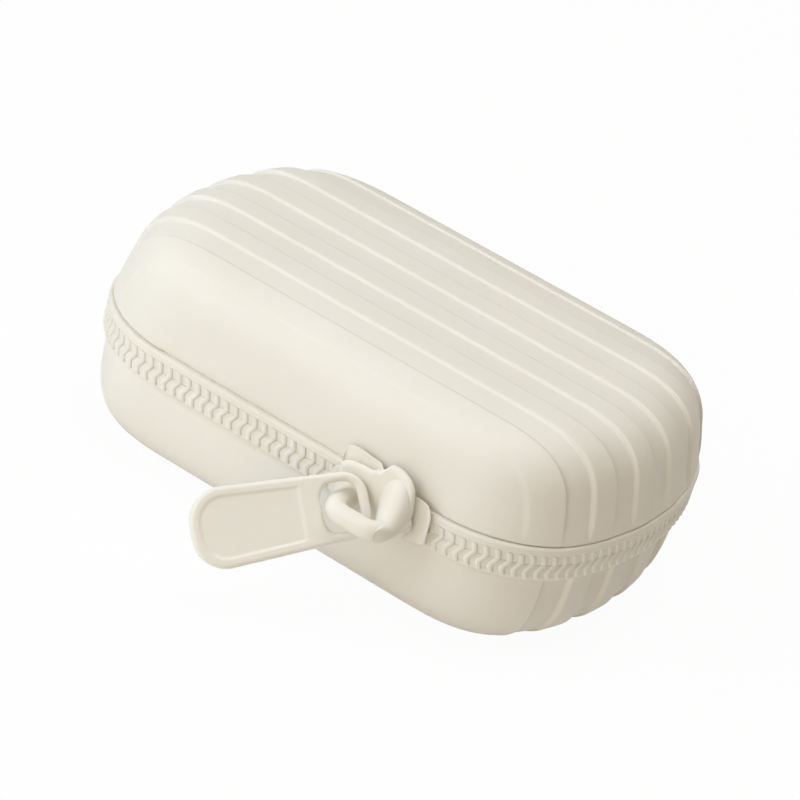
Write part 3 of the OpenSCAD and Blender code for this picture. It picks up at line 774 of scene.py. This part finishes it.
def web():
    """Thin strip at the back, closed round its section: two faces 0.65 mm apart, with three
    fold lines pressed 0.14 mm into the outer one."""
    steps, lengthwise = 41, 57
    z = np.linspace(MIDDLE_Z - 1.7, MIDDLE_Z + 1.7, steps)
    fold = sum(np.exp(-((z - MIDDLE_Z - k) / 0.16) ** 2) for k in (-0.75, 0.0, 0.75))
    outer = np.stack([HALF_W - 0.02 - 0.14 * fold, z], 1)
    inner = np.stack([np.full(steps, HALF_W - TAPE_FACE + 0.03), z[::-1]], 1)
    section = np.concatenate([outer, inner])
    around = len(section)
    x = np.linspace(-WEB_LEN / 2, WEB_LEN / 2, lengthwise)
    rings = np.array([np.insert(section, 0, place, axis=1) for place in x])
    faces = [quads(lengthwise, around, wrap_cols=True)]
    k = np.arange(steps - 1)
    cap = np.stack([k, k + 1, around - 2 - k, around - 1 - k], 1)
    faces += [cap[:, ::-1], cap + (lengthwise - 1) * around]
    return rings.reshape(-1, 3), np.concatenate(faces)


points, faces = web()
strap = piece("back_web", points, faces, silicone, sharp=50)
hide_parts("hinge_web")
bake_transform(strap)

stop_x = WEB_LEN / 2 + 0.3 + STOP_LEN / 2
for name, node, body, bottom, top in (
    ("lower_stops", "base_end_stops", "base", 19.45, MIDDLE_Z - 0.03),
    ("upper_stops", "lid_end_stops", "lid", MIDDLE_Z + 0.03, 23.75),
):
    size, middle_z = (STOP_LEN, 0.7, top - bottom), (bottom + top) / 2
    sides = [block(size, (side * stop_x, HALF_W - 0.35, middle_z), 0.2) for side in (-1, 1)]
    points, faces = joined(*sides)
    stops = piece(name, points, faces, tooth_plastic, sharp=50)
    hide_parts(node)
    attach(stops, body)


# Camera, fitted to the photograph's outline and rib lines
IMAGE_PX, MIDDLE_PX, FOCAL_PX = 800, (407.1, 370.9), 3693.0
SENSOR_MM, DISTANCE = 36, 725.7
AIM = Vector((0, 0, 26.4)) * MM
azimuth, elevation, roll = (math.radians(v) for v in (25.38, 28.28, 17.11))
level_back = Vector((math.sin(azimuth), -math.cos(azimuth), 0)) * math.cos(elevation)
back = level_back + Vector((0, 0, math.sin(elevation)))
level = Vector((math.cos(azimuth), math.sin(azimuth), 0))
up = back.cross(level)
right_axis = level * math.cos(roll) + up * math.sin(roll)
up_axis = back.cross(right_axis)
camera_data = bpy.data.cameras.new("camera")
camera_data.sensor_width = SENSOR_MM
camera_data.lens = FOCAL_PX * SENSOR_MM / IMAGE_PX
camera_data.shift_x = (IMAGE_PX / 2 - MIDDLE_PX[0]) / IMAGE_PX
camera_data.shift_y = (MIDDLE_PX[1] - IMAGE_PX / 2) / IMAGE_PX
camera_data.clip_end = 20
camera = bpy.data.objects.new("camera", camera_data)
camera.matrix_world = Matrix((right_axis, up_axis, back)).transposed().to_4x4()
camera.location = AIM + back * DISTANCE * MM
scene.collection.objects.link(camera)
scene.camera = camera


def floor_material():
    """Pale floor: white where the camera or a reflection sees it, with part of the shadow kept."""
    m = bpy.data.materials.new("pale_floor")
    m.use_nodes = True
    nt = m.node_tree
    nt.nodes.clear()
    out = nt.nodes.new("ShaderNodeOutputMaterial")
    diffuse = nt.nodes.new("ShaderNodeBsdfDiffuse")
    diffuse.inputs["Color"].default_value = (0.86, 0.85, 0.83, 1)
    glow = nt.nodes.new("ShaderNodeEmission")
    glow.inputs["Color"].default_value = (1, 1, 1, 1)
    mix = nt.nodes.new("ShaderNodeMixShader")
    path = nt.nodes.new("ShaderNodeLightPath")
    share = nt.nodes.new("ShaderNodeMath")
    share.operation = "MULTIPLY"
    share.inputs[1].default_value = 0.96
    seen = nt.nodes.new("ShaderNodeMath")
    seen.operation = "MAXIMUM"
    nt.links.new(path.outputs["Is Camera Ray"], seen.inputs[0])
    nt.links.new(path.outputs["Is Glossy Ray"], seen.inputs[1])
    nt.links.new(seen.outputs[0], share.inputs[0])
    nt.links.new(share.outputs[0], mix.inputs["Fac"])
    nt.links.new(diffuse.outputs[0], mix.inputs[1])
    nt.links.new(glow.outputs[0], mix.inputs[2])
    nt.links.new(mix.outputs[0], out.inputs["Surface"])
    return m


# Floor and light, in metres
FLOOR_HALF = 4
floor_corners = [
    (x * FLOOR_HALF, y * FLOOR_HALF, 0) for x, y in ((-1, -1), (1, -1), (1, 1), (-1, 1))
]
floor_mesh = bpy.data.meshes.new("floor")
floor_mesh.from_pydata(floor_corners, [], [(0, 1, 2, 3)])
floor_mesh.materials.append(floor_material())
floor = bpy.data.objects.new("floor", floor_mesh)
scene.collection.objects.link(floor)

world = bpy.data.worlds.new("studio")
scene.world = world
world.use_nodes = True
nt = world.node_tree
nt.nodes.clear()
out = nt.nodes.new("ShaderNodeOutputWorld")
ambient = nt.nodes.new("ShaderNodeBackground")
ambient.inputs["Color"].default_value = (1.0, 0.72, 0.4, 1)
ambient.inputs["Strength"].default_value = 0.19
white = nt.nodes.new("ShaderNodeBackground")
white.inputs["Color"].default_value = (1, 1, 1, 1)
white.inputs["Strength"].default_value = 1.0
light_path = nt.nodes.new("ShaderNodeLightPath")
choose = nt.nodes.new("ShaderNodeMixShader")
nt.links.new(light_path.outputs["Is Camera Ray"], choose.inputs["Fac"])
nt.links.new(ambient.outputs[0], choose.inputs[1])
nt.links.new(white.outputs[0], choose.inputs[2])
nt.links.new(choose.outputs[0], out.inputs["Surface"])


def area_light(name, place, size, power, colour):
    """Square soft lamp at place, pointing at the case's middle, in metres and watts."""
    data = bpy.data.lights.new(name, "AREA")
    data.shape = "SQUARE"
    data.size = size
    data.energy = power
    data.color = colour
    lamp = bpy.data.objects.new(name, data)
    lamp.location = place
    lamp.rotation_euler = (CASE_MIDDLE - Vector(place)).to_track_quat("-Z", "Y").to_euler()
    scene.collection.objects.link(lamp)


CASE_MIDDLE = Vector((0, 0, 0.02))
area_light("key_left", (-0.55, -0.7, 0.75), 0.8, 6.0, (0.8, 0.89, 1.0))
area_light("key_low", (-0.85, -0.6, 0.32), 0.7, 2.2, (0.72, 0.88, 1.0))
area_light("front_soft", (0.15, -1.0, 0.2), 0.7, 3.0, (1.0, 0.92, 0.79))
area_light("top_soft", (0.05, 0.25, 1.0), 0.8, 5.9, (0.93, 0.98, 1.0))

scene.view_settings.view_transform = "Standard"
